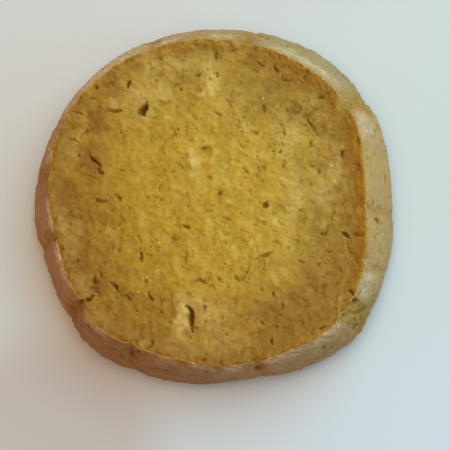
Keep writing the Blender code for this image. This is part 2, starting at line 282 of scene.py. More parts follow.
# Shallow scoops where crumbs came away: x, y, half width, half length, depth in mm, turn
SCOOPS = (
    (0.4, 6.4, 0.85, 0.90, 0.38, -50),
    (7.0, -8.1, 0.85, 1.20, 0.32, -40),
    (-3.1, -3.2, 0.40, 0.35, 0.25, 0),
    (-12.2, 9.2, 1.3, 1.8, 0.14, 20),
)

# Paler and browner patches of the face: x, y, half width, half length in mm, turn, strength
PALE_PATCHES = (
    (-2.9, -15.2, 1.1, 2.4, 0, 1.25),
    (-0.8, -14.2, 2.6, 2.4, 0, 0.7),
    (1.8, -15.0, 2.8, 2.6, 20, 0.5),
    (-1.3, 5.2, 0.70, 1.3, 15, 1.5),
    (0.9, 14.2, 0.8, 1.2, 0, 0.5),
    (-11.6, 13.1, 0.8, 0.8, 0, 0.9),
    (-7.2, 14.1, 3.0, 2.2, 0, 0.95),
    (-9.6, 11.8, 1.4, 1.6, 0, 0.5),
    (0.7, 16.0, 1.3, 2.6, 0, 1.1),
    (-4.5, 17.8, 4.0, 1.6, 0, 0.8),
    (2.8, 13.2, 2.4, 1.8, 0, 0.5),
    (16.8, 4.0, 1.6, 2.6, 0, 1.1),
    (15.2, 0.6, 1.6, 2.4, -10, 1.0),
    (12.0, 0.6, 1.2, 2.6, 0, 1.1),
    (11.0, 9.0, 2.2, 1.8, 0, 0.5),
    (13.9, 12.8, 1.2, 1.2, 0, 0.5),
    (-1.8, -12.4, 1.8, 1.4, 0, 0.6),
    (4.0, -17.5, 2.6, 1.5, 0, 0.5),
    (-0.5, -18.4, 5.0, 1.6, 0, 0.6),
    (-17.3, -4.0, 1.2, 3.0, 10, 0.6),
    (-17.0, 7.0, 0.9, 2.6, -15, 0.5),
    (-12.2, -4.0, 0.45, 1.1, 25, 1.0),
    (-15.9, -10.4, 1.0, 1.4, 20, 0.6),
    (-13.0, -15.2, 1.2, 2.2, 45, 0.35),
    (10.5, -9.2, 0.5, 0.5, 0, 0.7),
    (18.0, -12.9, 0.7, 0.7, 0, 0.6),
    (8.1, -7.7, 0.3, 0.3, 0, 1.0),
    (-7.6, -18.0, 0.8, 0.6, 20, 0.7),
    (8.8, -12.4, 1.0, 0.6, 0, 0.4),
    (11.0, 8.5, 2.8, 1.3, 10, 0.4),
    (-18.7, -1.9, 0.9, 1.6, 0, 0.6),
)
TOASTED_PATCHES = (
    (-13.9, 11.6, 1.2, 1.3, 0, 0.9),
    (-13.6, 10.0, 1.3, 1.2, 0, 0.8),
    (-11.9, 15.4, 1.0, 1.2, 0, 0.4),
    (-14.8, 5.6, 1.8, 2.8, 0, 0.7),
    (-17.2, 0.4, 1.3, 2.4, 0, 0.35),
    (-14.2, -1.5, 1.4, 0.9, 0, 0.4),
    (-10.0, -16.5, 1.3, 1.3, 0, 0.3),
    (-15.7, -5.8, 1.2, 1.3, 0, 0.3),
    (12.2, 2.8, 0.9, 0.9, 0, 0.35),
    (9.0, -8.3, 1.2, 0.8, 0, 0.35),
    (12.6, 15.7, 2.2, 0.9, -32, 0.7),
    (15.8, 13.9, 1.8, 1.1, -45, 0.7),
    (12.3, -17.4, 1.4, 0.8, 20, 0.5),
    (7.8, -18.4, 1.3, 0.7, 0, 0.3),
    (-6.6, -13.0, 1.6, 1.6, 0, 0.3),
)

# How finely the dough is meshed in mm, the share of its underside's mesh that stays, and its triangles
CELL = 0.15
UNDERSIDE_SHARE = 0.05
DOUGH_TRIANGLES = 190000

# How far the relief's grains are bent out of their places, and the seed that keeps the bend the same every run
GRAIN_BEND = 0.3
BEND_SEED = 5

# Relief in mm: the slice's slow swell, the crumb of its face, the crust of its wall, its torn and raised rim
SWELL_RELIEF = 0.16
RIPPLE_RELIEF = 0.07
CRUMB_RELIEF = 0.13
SAND_RELIEF = 0.05
SANDY_EXTRA = 0.08
FINE_RELIEF = 0.05
HAIRLINE_DEPTH = 0.20
PORE_DEPTH = 0.25
PALE_RISE = 0.10
KNOB_RELIEF = 0.13
CRUST_GRAIN_RELIEF = 0.05
WALL_PIT_DEPTH = 0.35
CREASE_DEPTH = 0.16
RUBBLE_RELIEF = 0.40
BARE_SAND_RELIEF = 0.15
TORN_RELIEF = 0.40
RIM_LUMP_RELIEF = 0.24
LIP_RISE = 0.22

# Grains of sugar, in mm: their middle size, how close two lie, how far they sink in, and the most to a mm2
CRYSTAL_SIZE = 0.22
CRYSTAL_GAP = 0.20
CRYSTAL_SUNK = 0.095
CRYSTALS_PER_MM2 = 14.0
CRYSTAL_SEED = 11

# Colours of the finishes, linear, among them painted shade for dips, hollows, the lip's inner slope and the
# wall, and painted light and shade across the face
GOLDEN = (0.665, 0.403, 0.045, 1)
TAN = (0.44, 0.260, 0.033, 1)
OLIVE = (0.53, 0.320, 0.022, 1)
CREAM = (0.70, 0.490, 0.165, 1)
BUTTER = (0.785, 0.56, 0.155, 1)
BROWNED = (0.375, 0.185, 0.017, 1)
CARAMEL_AND_LIP_SHADE = (0.45, 0.195, 0.010, 1)
DIP_SHADE = (0.60, 0.52, 0.26, 1)
CRACK_SHADE = (0.12, 0.045, 0.002, 1)
# Painted light and shade across the face: warmer and darker away from the window, paler and cooler towards it
PAINTED_SHADE_SIDE = (0.92, 0.81, 0.33, 1)
PAINTED_LIGHT_SIDE = (1.03, 1.12, 1.16, 1)
CRUST = (0.64, 0.393, 0.124, 1)
PINK_CRUST = (0.64, 0.39, 0.18, 1)
FROST = (0.80, 0.58, 0.36, 1)
WALL_SHADE_TINT = (0.73, 0.86, 0.89, 1)
BARE_WALL = (0.52, 0.200, 0.040, 1)
DARK_WALL = (0.44, 0.175, 0.040, 1)
TRAY_SIDE = (0.34, 0.16, 0.04, 1)
CRYSTAL_CLEAR = (0.60, 0.44, 0.22, 1)
CRYSTAL_BROWN = (0.50, 0.33, 0.13, 1)

# The floor in metres, and its tints, painted light that stands in for the lamps' colours: warm on the left,
# cool on the right towards the window both far and near, and a browner shade in the near left corner.
# FLOOR_TURN is which way the cool side lies in degrees, FLOOR_FADE how far it takes to change in mm, and
# FLOOR_NEAR where the far tint starts to change and the near one is reached, in mm
FLOOR_SIZE = 1
FLOOR_WARM = (0.69, 0.67, 0.67, 1)
FLOOR_COOL_FAR = (0.62, 0.69, 0.715, 1)
FLOOR_COOL_NEAR = (0.665, 0.745, 0.85, 1)
FLOOR_SHADE = (0.89, 0.79, 0.73, 1)
FLOOR_TURN = 40.0
FLOOR_FADE = 60.0
FLOOR_NEAR = (10, -34)
SHADE_MIDDLE = (-22, -31, 0)
SHADE_REACH = (9, 19)

# The room's dim warm light and the pale wall that is seen, then its lamps: name, place and size in metres,
# power in watts and colour
ROOM_COLOUR = (1.0, 0.68, 0.48, 1)
ROOM_STRENGTH = 0.31
ROOM_SEEN = (0.60, 0.62, 0.62, 1)
LAMPS = (
    ("window", (0.20, 0.22, 0.28), 0.40, 1.48, (0.45, 0.82, 1.0)),
    ("ceiling", (0.02, 0.02, 0.45), 0.35, 0.90, (1.0, 0.76, 0.48)),
    ("side_window", (0.34, -0.08, 0.20), 0.30, 0.36, (0.1, 0.65, 1.0)),
)

# The camera: what it aims at in mm, the way and how far it leans, its distance in metres and its lens in mm
CAMERA_SIDE = (0.857, -0.515)
CAMERA_AIM = (2.16, -2.75, 4.846)
CAMERA_TILT = 11.3
CAMERA_REACH = 0.30
CAMERA_LENS = 185.4


def pick_nothing():
    for other in bpy.context.selected_objects:
        other.select_set(False)


def make_active(piece):
    pick_nothing()
    piece.select_set(True)
    bpy.context.view_layer.objects.active = piece


def apply_modifier(piece, modifier):
    make_active(piece)
    bpy.ops.object.modifier_apply(modifier=modifier.name)


def ease(low, high, value):
    """0 below low, 1 above high, and a soft step between; works on arrays."""
    share = np.clip((value - low) / (high - low), 0, 1)
    return share * share * (3 - 2 * share)


def points_of(mesh):
    """The mesh's points in millimetres, one row each."""
    flat = np.empty(len(mesh.vertices) * 3, np.float32)
    mesh.vertices.foreach_get("co", flat)
    return flat.reshape(-1, 3).astype(float) / MM


def set_points(mesh, points):
    mesh.vertices.foreach_set("co", (points * MM).astype(np.float32).ravel())
    mesh.update()


def normals_of(mesh):
    flat = np.empty(len(mesh.vertices) * 3, np.float32)
    mesh.vertex_normals.foreach_get("vector", flat)
    return flat.reshape(-1, 3).astype(float)


def add_attribute(mesh, name, values):
    """A number at each point, for the materials to read."""
    attribute = mesh.attributes.new(name, "FLOAT", "POINT")
    attribute.data.foreach_set("value", np.asarray(values, np.float32))


def waves(points, size, shift=0.0):
    """Smooth noise from about -1 to 1, with lumps about this many mm across."""
    return np.array([noise.noise(Vector(p)) for p in points / size + shift])


def crumbs(points, size, shift=0.0):
    """Rounded lumps of several sizes at once, from 0 up to about 1.5."""
    return np.array([noise.turbulence(Vector(p), 3, False, amplitude_scale=0.6) for p in points / size + shift])


def grains(points, size):
    """Rounded grains about this many mm apart: 1 at a grain's middle, 0 in the dips between."""
    noise.seed_set(BEND_SEED)
    nearest = []
    for p in points / size:
        place = Vector(p)
        place += noise.noise_vector(place * 1.3) * GRAIN_BEND
        nearest.append(noise.voronoi(place)[0][0])
    return 1 - np.clip(np.array(nearest) / 0.75, 0, 1) ** 2


def hairlines(points, size, width, shift):
    """Fine wandering lines, broken into short lengths: 1 in a line, 0 away from it."""
    aside = np.c_[waves(points, 0.4 * size, shift), waves(points, 0.4 * size, shift + 7), points[:, 0] * 0]
    bent = points + 0.30 * size * aside
    line = 1 - ease(0.0, width, np.abs(waves(bent, size, shift)))
    return line * ease(0.08, 0.30, waves(points, 0.8 * size, shift + 3))


def round_the_rim(angles, table, column):
    """A column of a table whose rows start with an angle, read between its rows."""
    return np.interp(angles, [row[0] for row in table], [row[column] for row in table], period=360)


def outline_radius(angles, column):
    """Radius of the rim (column 1) or the foot (column 2) in mm, with soft corners."""
    shifts = np.linspace(-CORNER_SOFTNESS, CORNER_SOFTNESS, 7)
    return sum(round_the_rim(angles + shift, OUTLINE, column) for shift in shifts) / len(shifts)


def wall_ring(share):
    """Radius and height of the wall at a share of the way from rim to foot: a slight belly."""
    flare = 0.55 * share + 0.45 * math.sin(math.pi / 2 * share)
    radius = TOP_RADIUS + (FOOT_RADIUS - TOP_RADIUS) * flare
    return radius, RIM_HEIGHT + (FOOT_HEIGHT - RIM_HEIGHT) * share


def slice_rings():
    """Radius and height of each ring of the slice, from its tray side up over the rim to its face."""
    foot = [
        (FOOT_RADIUS - FOOT_TUCK, 0.0),
        (FOOT_RADIUS - 0.55 * FOOT_TUCK, 0.12 * FOOT_HEIGHT),
        (FOOT_RADIUS - 0.2 * FOOT_TUCK, 0.4 * FOOT_HEIGHT),
        (FOOT_RADIUS, FOOT_HEIGHT),
    ]
    wall = [wall_ring(share) for share in np.linspace(0.85, 0.2, 5)]
    rim = [
        (TOP_RADIUS + 0.15 * RIM_ROUND, RIM_HEIGHT - 1.2 * RIM_ROUND),
        (TOP_RADIUS - 0.25 * RIM_ROUND, RIM_HEIGHT - 0.35 * RIM_ROUND),
        (TOP_RADIUS - 0.95 * RIM_ROUND, RIM_HEIGHT),
        (TOP_RADIUS - 0.38 * RIM_WIDTH, FACE_HEIGHT + 0.80 * RIM_RISE),
        (TOP_RADIUS - 0.62 * RIM_WIDTH, FACE_HEIGHT + 0.25 * RIM_RISE),
        (TOP_RADIUS - RIM_WIDTH, FACE_HEIGHT),
    ]
    return [*foot, *wall, *rim]


def turn_slice():
    """A cylinder whose top is drawn up and in, ring by ring, into the slice's section."""
    rings = slice_rings()
    radius, height = rings[0]
    pick_nothing()
    bpy.ops.mesh.primitive_cylinder_add(vertices=180, radius=radius * MM, depth=0.1 * MM)
    dough = bpy.context.object
    dough.name = "dough_slice"
    bpy.ops.object.mode_set(mode="EDIT")
    bpy.ops.mesh.select_mode(type="FACE")
    bpy.ops.object.mode_set(mode="OBJECT")
    for face in dough.data.polygons:
        face.select = face.normal.z > 0.9
    bpy.ops.object.mode_set(mode="EDIT")
    bpy.ops.transform.translate(value=(0, 0, -0.05 * MM))
    for radius_next, height_next in rings[1:]:
        bpy.ops.mesh.extrude_region_move(TRANSFORM_OT_translate={"value": (0, 0, (height_next - height) * MM)})
        share = radius_next / radius
        bpy.ops.transform.resize(value=(share, share, 1))
        radius, height = radius_next, height_next
    bpy.ops.object.mode_set(mode="OBJECT")
    points = points_of(dough.data)
    points[points[:, 2] < 0.0, 2] = 0.0
    set_points(dough.data, points)
    return dough


def press_to_outline(dough):
    """The log was pressed by hand, so the slice follows its outline from the foot up to the rim."""
    points = points_of(dough.data)
    angles = np.degrees(np.arctan2(points[:, 1], points[:, 0]))
    rise = np.clip((points[:, 2] - FOOT_HEIGHT) / (RIM_HEIGHT - FOOT_HEIGHT), 0, 1)
    at_rim = outline_radius(angles, 1) / TOP_RADIUS
    at_foot = outline_radius(angles, 2) / FOOT_RADIUS
    stretch = at_foot + (at_rim - at_foot) * rise
    points[:, 0] = points[:, 0] * stretch + TOP_LEAN[0] * rise
    points[:, 1] = points[:, 1] * stretch + TOP_LEAN[1] * rise
    set_points(dough.data, points)


def mesh_finely(dough):
    """Even small faces all over, and only a few of them under the flat middle of the tray side."""
    remesh = dough.modifiers.new("fine", "REMESH")
    remesh.mode = "VOXEL"
    remesh.voxel_size = CELL * MM
    apply_modifier(dough, remesh)
    bpy.ops.object.mode_set(mode="EDIT")
    bpy.ops.mesh.select_mode(type="VERT")
    bpy.ops.mesh.select_all(action="DESELECT")
    bpy.ops.object.mode_set(mode="OBJECT")
    points = points_of(dough.data)
    flat = (points[:, 2] < 0.08) & (np.hypot(points[:, 0], points[:, 1]) < FOOT_RADIUS - 2.6)
    dough.data.vertices.foreach_set("select", flat)
    bpy.ops.object.mode_set(mode="EDIT")
    bpy.ops.mesh.decimate(ratio=UNDERSIDE_SHARE)
    bpy.ops.object.mode_set(mode="OBJECT")


def split_marks(angles, heights):
    """How deep the wall is split at each place in mm, how bare of sugar it is there, and how browned."""
    places = np.stack([angles * 0.05, heights / 2.4, np.full_like(angles, 4.2)], axis=1)
    wander = 2.6 * waves(places, 1.0)
    fade = 0.3 + 0.7 * ease(FOOT_HEIGHT, 0.8 * RIM_HEIGHT, heights)
    depth = np.zeros_like(angles)
    bare = np.zeros_like(angles)
    browned = np.zeros_like(angles)
    for middle, width, deepest, bareness, browning in SPLITS:
        turn = (angles + wander - middle + 180) % 360 - 180
        depth = np.maximum(depth, deepest * np.exp(-((2 * turn / width) ** 2)))
        inside = np.exp(-((1.3 * turn / width) ** 2))
        bare = np.maximum(bare, bareness * inside)
        browned = np.maximum(browned, browning * inside)
    left = 0.72 + 0.28 * waves(places * (8, 1.5, 1), 1.0, 6.0) - 0.30 * ease(0.6, 0.0, heights / RIM_HEIGHT)
    return depth * fade, bare * np.clip(left + 0.28, 0, 1), browned


def frost_ridges(angles, from_rim):
    """How thickly sugar lies in pale ridges along the rim."""
    frost = np.zeros_like(angles)
    for middle, half_length, strength, out, half_width in FROST_RIDGES:
        turn = (angles - middle + 180) % 360 - 180
        along = 1 - ease(0.75, 1.25, np.abs(turn) / half_length)
        frost = np.maximum(frost, strength * along * np.exp(-(((from_rim - out) / half_width) ** 2)))
    return frost


def crack_depth(places, corners, half_width, deepest):
    """How deep a crack cuts at each place in mm: steep sides, narrow and shallow at its two ends."""
    corners = np.array(corners)
    legs = np.linalg.norm(np.diff(corners, axis=0), axis=1)
    travelled = np.concatenate([[0], np.cumsum(legs)]) / legs.sum()
    ragged = 1 + 0.5 * waves(np.c_[places, np.zeros(len(places))], 0.55)
    depth = np.zeros(len(places))
    for start, end, begun, done in zip(corners, corners[1:], travelled, travelled[1:]):
        run = end - start
        share = np.clip((places - start) @ run / (run @ run), 0, 1)
        away = np.linalg.norm(places - start - share[:, None] * run, axis=1)
        belly = np.sin(math.pi * (begun + (done - begun) * share))
        width = half_width * (0.5 + 0.5 * belly) * ragged
        depth = np.maximum(depth, deepest * (1 - ease(0.35, 1.35, away / width)) * (0.5 + 0.5 * belly))
    return depth


def dent_share(places, x, y, half_width, half_length, turn, ragged_by):
    """How far out from the middle of a dent each place lies: 1 at its uneven edge."""
    c, s = math.cos(math.radians(turn)), math.sin(math.radians(turn))
    across = ((places[:, 0] - x) * c + (places[:, 1] - y) * s) / half_width
    along = (-(places[:, 0] - x) * s + (places[:, 1] - y) * c) / half_length
    size = 0.35 * (half_width + half_length)
    ragged = 1 + ragged_by * waves(np.c_[places, np.full(len(places), x)], max(size, 0.4))
    return np.hypot(across, along) / ragged


def opened(places):
    """Depth of every crack and pit of the face together, in mm."""
    depth = np.zeros(len(places))
    flat = np.c_[places, np.zeros(len(places))]
    bent = places + 0.14 * np.c_[waves(flat, 0.6, 5.0), waves(flat, 0.6, 9.0)]
    bent += 0.12 * np.c_[waves(flat, 0.27, 15.0), waves(flat, 0.27, 19.0)]
    uneven = 1 + 0.55 * waves(flat, 0.5, 23.0)
    for half_width, deepest, *corners in CRACKS:
        low = np.min(corners, axis=0) - 1
        high = np.max(corners, axis=0) + 1
        near = np.all((bent > low) & (bent < high), axis=1)
        cut = crack_depth(bent[near], corners, half_width, deepest) * uneven[near]
        depth[near] = np.maximum(depth[near], cut)
    for x, y, half_width, half_length, deepest, turn in PITS:
        near = np.hypot(bent[:, 0] - x, bent[:, 1] - y) < 3 * max(half_length, half_width)
        share = dent_share(bent[near], x, y, half_width, half_length, turn, 0.5)
        depth[near] = np.maximum(depth[near], deepest * (1 - ease(0.45, 1.15, share)))
    return depth


def pitted(angles, heights, flat):
    """Depth of the pits in the wall, in mm."""
    depth = np.zeros(len(angles))
    ragged = 1 + 0.5 * waves(flat, 0.5, 83.0)
    for middle, height, half_width, half_height, deepest in WALL_PITS:
        across = np.radians((angles - middle + 180) % 360 - 180) * FOOT_RADIUS / half_width
        share = np.hypot(across, (heights - height) / half_height) / ragged
        depth = np.maximum(depth, deepest * (1 - ease(0.4, 1.3, share)))
    return depth


def scooped(places):
    """Depth of the shallow scoops, steep on their upper right side."""
    depth = np.zeros(len(places))
    for x, y, half_width, half_length, deepest, turn in SCOOPS:
        near = np.hypot(places[:, 0] - x, places[:, 1] - y) < 3 * half_length
        share = dent_share(places[near], x, y, half_width, half_length, turn, 0.4)
        depth[near] = np.maximum(depth[near], deepest * (1 - ease(0.35, 1.2, share)))
    return depth


def patched(places, patches):
    """How strongly each place lies in one of the patches, whose edges are uneven."""
    strength = np.zeros(len(places))
    for x, y, half_width, half_length, turn, most in patches:
        near = np.hypot(places[:, 0] - x, places[:, 1] - y) < 2.5 * half_length + half_width
        share = dent_share(places[near], x, y, half_width, half_length, turn, 0.5)
        strength[near] += most * (1 - ease(0.3, 1.5, share))
    return strength


def roughen(dough):
    """Gives the slice its crumb, cracks, splits and sugar crust, and notes where each is and where shade and
    light are painted.
    """
    mesh = dough.data
    points = points_of(mesh)
    normals = normals_of(mesh)
    places = points[:, :2]
    angles = np.degrees(np.arctan2(points[:, 1] - TOP_LEAN[1], points[:, 0] - TOP_LEAN[0]))
    reach = np.hypot(points[:, 0] - TOP_LEAN[0], points[:, 1] - TOP_LEAN[1])
    from_rim = reach - outline_radius(angles, 1)
    above_tray = ease(0.0, 1.5, points[:, 2])
    sugar = round_the_rim(angles, BAKE, 3)
    lip = round_the_rim(angles, BAKE, 2)
    edge = from_rim + 0.12 + 0.16 * waves(points, 1.3, 2.0) + 0.14 * (1 - lip) * waves(points, 0.75, 53.0)
    on_face = 1 - ease(-0.16, 0.10, edge)
    on_face *= ease(-0.2, 0.2, normals[:, 2])

    swell = SWELL_RELIEF * waves(points, 7.0) + RIPPLE_RELIEF * waves(points, 3.0, 1.5)
    sandy = ease(-0.35, 0.45, waves(points, 3.4, 12.0))
    sand = grains(points, 0.85)
    lumps = crumbs(points, 1.9) + 0.7 * crumbs(points, 0.85, 3.0) - 1.0
    fine = waves(points, 0.40, 5.0)
    lines = hairlines(points, 1.4, 0.08, 31.0)
    pores = ease(0.55, 0.65, waves(points, 0.66, 21.0)) * ease(-0.1, 0.3, waves(points, 2.9, 44.0))
    crumb = CRUMB_RELIEF * lumps + (SAND_RELIEF + SANDY_EXTRA * sandy) * (sand - 0.5) + FINE_RELIEF * fine
    pale = patched(places, PALE_PATCHES)
    face = crumb - HAIRLINE_DEPTH * lines - PORE_DEPTH * pores + PALE_RISE * pale

    knobs = crumbs(points, 1.3, 8.0) - 0.6
    crust_grains = grains(points, 0.50)
    wall_pits = ease(0.44, 0.60, waves(points, 1.05, 61.0)) * ease(-0.1, 0.3, waves(points, 3.5, 71.0))
    creases = hairlines(points * (0.8, 0.8, 1.5), 2.6, 0.07, 91.0)
    rubble = crumbs(points, 1.3, 33.0) - 0.55
    wall = KNOB_RELIEF * knobs + CRUST_GRAIN_RELIEF * (crust_grains - 0.5)
    wall = wall - WALL_PIT_DEPTH * wall_pits - CREASE_DEPTH * creases

    split, bare, browned = split_marks(angles, points[:, 2])
    near_wall = ease(-0.16 * TOP_RADIUS, -0.04 * TOP_RADIUS, from_rim)
    split = split * near_wall * above_tray
    bare = bare * near_wall
    torn_crumb = RUBBLE_RELIEF * rubble + BARE_SAND_RELIEF * (sand - 0.5)
    relief = face * on_face + wall * (1 - on_face) + bare * torn_crumb * (1 - on_face)
    moved = normals * ((relief + swell) * above_tray)[:, None]

    torn = TORN_RELIEF * waves(points, 0.9) * np.minimum(1, split / 0.3)
    from_middle = np.maximum(np.hypot(points[:, 0], points[:, 1]), 1e-6)
    outward = np.c_[places / from_middle[:, None], np.zeros(len(points))]
    dents = pitted(angles, points[:, 2], points) * (1 - on_face) * above_tray
    moved -= outward * (split - torn + dents)[:, None]
    moved[:, 2] -= 0.8 * split * np.maximum(normals[:, 2], 0)

    rim_lumps = (crumbs(points, 1.15, 43.0) - 0.55) * np.exp(-(((from_rim + 0.3) / 0.75) ** 2))
    rim_lumps *= (1 - 0.8 * lip) * on_face
    moved += normals * (RIM_LUMP_RELIEF * rim_lumps * above_tray)[:, None]
    lip_rise = LIP_RISE * lip * (1 - bare) * ease(-1.05, -0.55, from_rim)
    moved[:, 2] += lip_rise * np.maximum(normals[:, 2], 0)
    hole = opened(places) * on_face
    scoop = scooped(places) * on_face
    moved[:, 2] -= hole + scoop

    points += moved
    flat = normals[:, 2] < -0.9
    points[flat & (points[:, 2] < 0.1), 2] = 0.0
    points[:, 2] = np.maximum(points[:, 2], 0.0)
    set_points(mesh, points)

    toast = round_the_rim(angles, BAKE, 1)
    band = ease(-19.0, -2.5, from_rim + 1.5 * waves(points, 3.0, 14.0)) ** 2.05
    # Browning just inside the rim, and painted shade on the lip's inner slope where it faces away from the
    # light
    lip_browning_and_shade = ease(-3.2, -1.2, from_rim + 0.4 * waves(points, 1.8, 27.0))
    toasted = toast * (1.2 * band + 0.42 * lip_browning_and_shade) + patched(places, TOASTED_PATCHES) + 0.7 * scoop
    toasted *= 1 - 0.45 * bare
    toasted = toasted * on_face + (0.25 + 0.7 * browned) * (1 - on_face)
    # The orange line: caramel along the rim, and painted shade on the lip's inner slope
    orange = lip * ease(-2.0, -0.8, edge + 0.20 * waves(points, 1.5)) * (1 - bare)
    sugar = sugar * (1 - bare)
    patchy = ease(-0.5, 0.2, waves(points, 2.2, 17.0) + 0.9 * (sugar - 0.5))
    sugared = np.clip(sugar * (0.35 + 0.65 * patchy), 0, 1)
    under = ease(0.75, 0.97, -normals[:, 2])
    deep_brown = ease(6.5, 1.0, points[:, 2] + 0.8 * waves(points, 2.5, 8.0)) * (1 - 0.8 * sugar)
    frosted = frost_ridges(angles + 2 * waves(points, 2.0, 57.0), from_rim + 0.3 * waves(points, 0.9, 37.0))
    frosted *= 1 - 0.7 * bare
    bed = sugared * ease(0.1, 0.5, sugar) * (1 - on_face) * (1 - under) * (1 - wall_pits)
    bed *= ease(0.5, 0.8, points[:, 2]) * (1 - ease(0.05, 0.2, dents))
    bed += 0.001 * on_face
    # Paler cream dough in the pale patches and where crumb shows, and a painted highlight on the tops of the
    # lumps along the rim
    cream_and_lump_highlight = pale + 0.4 * bare * (1 - browned) + 0.9 * ease(0.0, 0.30, rim_lumps)
    cream_and_lump_highlight = np.clip(cream_and_lump_highlight, 0, 1) * (1 - 0.4 * np.clip(toasted, 0, 1))
    add_attribute(mesh, "crumb_shows", on_face + (1 - on_face) * 0.8 * bare)
    add_attribute(mesh, "deep_brown", deep_brown)
    add_attribute(mesh, "toasted", np.clip(toasted, 0, 1.4))
    add_attribute(mesh, "cream_and_lump_highlight", cream_and_lump_highlight)
    add_attribute(mesh, "pale", np.clip(pale - 1, 0, 1))
    # Painted light: the face grows paler and cooler towards the window at the upper right
    fair = (places @ (1, 0.5) + 4 * waves(points, 8.0, 51.0) + 15) / 30
    add_attribute(mesh, "painted_light_side", np.clip(fair, 0, 1))
    # Painted shade: the wall darker and less red at some angles
    add_attribute(mesh, "painted_wall_shade", round_the_rim(angles, BAKE, 4))
    add_attribute(mesh, "caramel_and_lip_shade", np.clip(orange, 0, 1))
    add_attribute(mesh, "sugared", sugared)
    add_attribute(mesh, "frosted", np.clip(frosted, 0, 1))
    add_attribute(mesh, "underside", under)
    # Painted shade: the dips of the relief are made darker, the risen crumb and pale patches less so
    risen = 1.8 * crumb * on_face + 1.4 * wall * (1 - on_face) * (1 - bare)
    add_attribute(mesh, "high", np.clip(0.85 + risen + 0.3 * pale, 0, 1))
    # Painted shade, with some browning, in the face's cracks, pits, hairlines and pores, the wall's pits and
    # creases and the dips of its torn crumb
    hollow = 1 - np.exp(-1.15 * hole)
    hollow += on_face * (0.40 * lines + 0.35 * pores) + (1 - on_face) * (0.5 * wall_pits + 0.25 * creases)
    hollow += 0.25 * bare * (1 - on_face) * ease(-0.10, -0.3, rubble) + 1 - np.exp(-1.3 * dents)
    add_attribute(mesh, "hollow", np.clip(hollow, 0, 1))
    add_attribute(mesh, "sugar_bed", np.clip(bed, 0, 1))
    mesh.shade_smooth()


def thin_out(dough):
    """Fewer faces where the surface is plain."""
    dough.data.calc_loop_triangles()
    decimate = dough.modifiers.new("fewer", "DECIMATE")
    decimate.ratio = min(1.0, DOUGH_TRIANGLES / len(dough.data.loop_triangles))
    apply_modifier(dough, decimate)


def line_up(dough):
    """The slice's box goes where its solid's box is."""
    points = points_of(dough.data)
    middle = (points.min(axis=0) + points.max(axis=0)) / 2
    low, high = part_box("cookie")
    wanted = (np.array(low) + np.array(high)) / 2 / MM
    points[:, :2] += wanted[:2] - middle[:2]
    set_points(dough.data, points)


def add_node(tree, kind, feeds=(), **settings):
    """A node with its settings, and its inputs fed by a value or by another node's output."""
    node = tree.nodes.new(kind)
    number = len(tree.nodes)
    node.location = (240 * (number % 8), -320 * (number // 8))
    for name, value in settings.items():
        setattr(node, name, value)
    for name, value in dict(feeds).items():
        if isinstance(value, bpy.types.NodeSocket):
            tree.links.new(value, node.inputs[name])
        else:
            node.inputs[name].default_value = value
    return node


def new_group(name, kind, inputs, outputs):
    """A node group with named sockets: its tree, what it is given and what it gives."""
    group = bpy.data.node_groups.new(name, kind)
    for label, socket in inputs.items():
        group.interface.new_socket(label, in_out="INPUT", socket_type=socket)
    for label, socket in outputs.items():
        group.interface.new_socket(label, in_out="OUTPUT", socket_type=socket)
    return group, group.nodes.new("NodeGroupInput").outputs, group.nodes.new("NodeGroupOutput")


def carve_crystal():
    """One grain of sugar: a small block, longer one way, with a slanted narrow end."""
    pick_nothing()
    bpy.ops.mesh.primitive_cube_add(size=CRYSTAL_SIZE * MM)
    crystal = bpy.context.object
    crystal.name = "sugar_grain"
    bpy.ops.object.mode_set(mode="EDIT")
    bpy.ops.transform.resize(value=(0.85, 1.0, 1.2))
    bpy.ops.mesh.select_mode(type="FACE")
    bpy.ops.object.mode_set(mode="OBJECT")
    for face in crystal.data.polygons:
        face.select = face.normal.z > 0.9
    bpy.ops.object.mode_set(mode="EDIT")
    bpy.ops.transform.resize(value=(0.7, 0.8, 1))
    bpy.ops.transform.translate(value=(0.1 * CRYSTAL_SIZE * MM, 0, 0))
    bpy.ops.object.mode_set(mode="OBJECT")
    return crystal


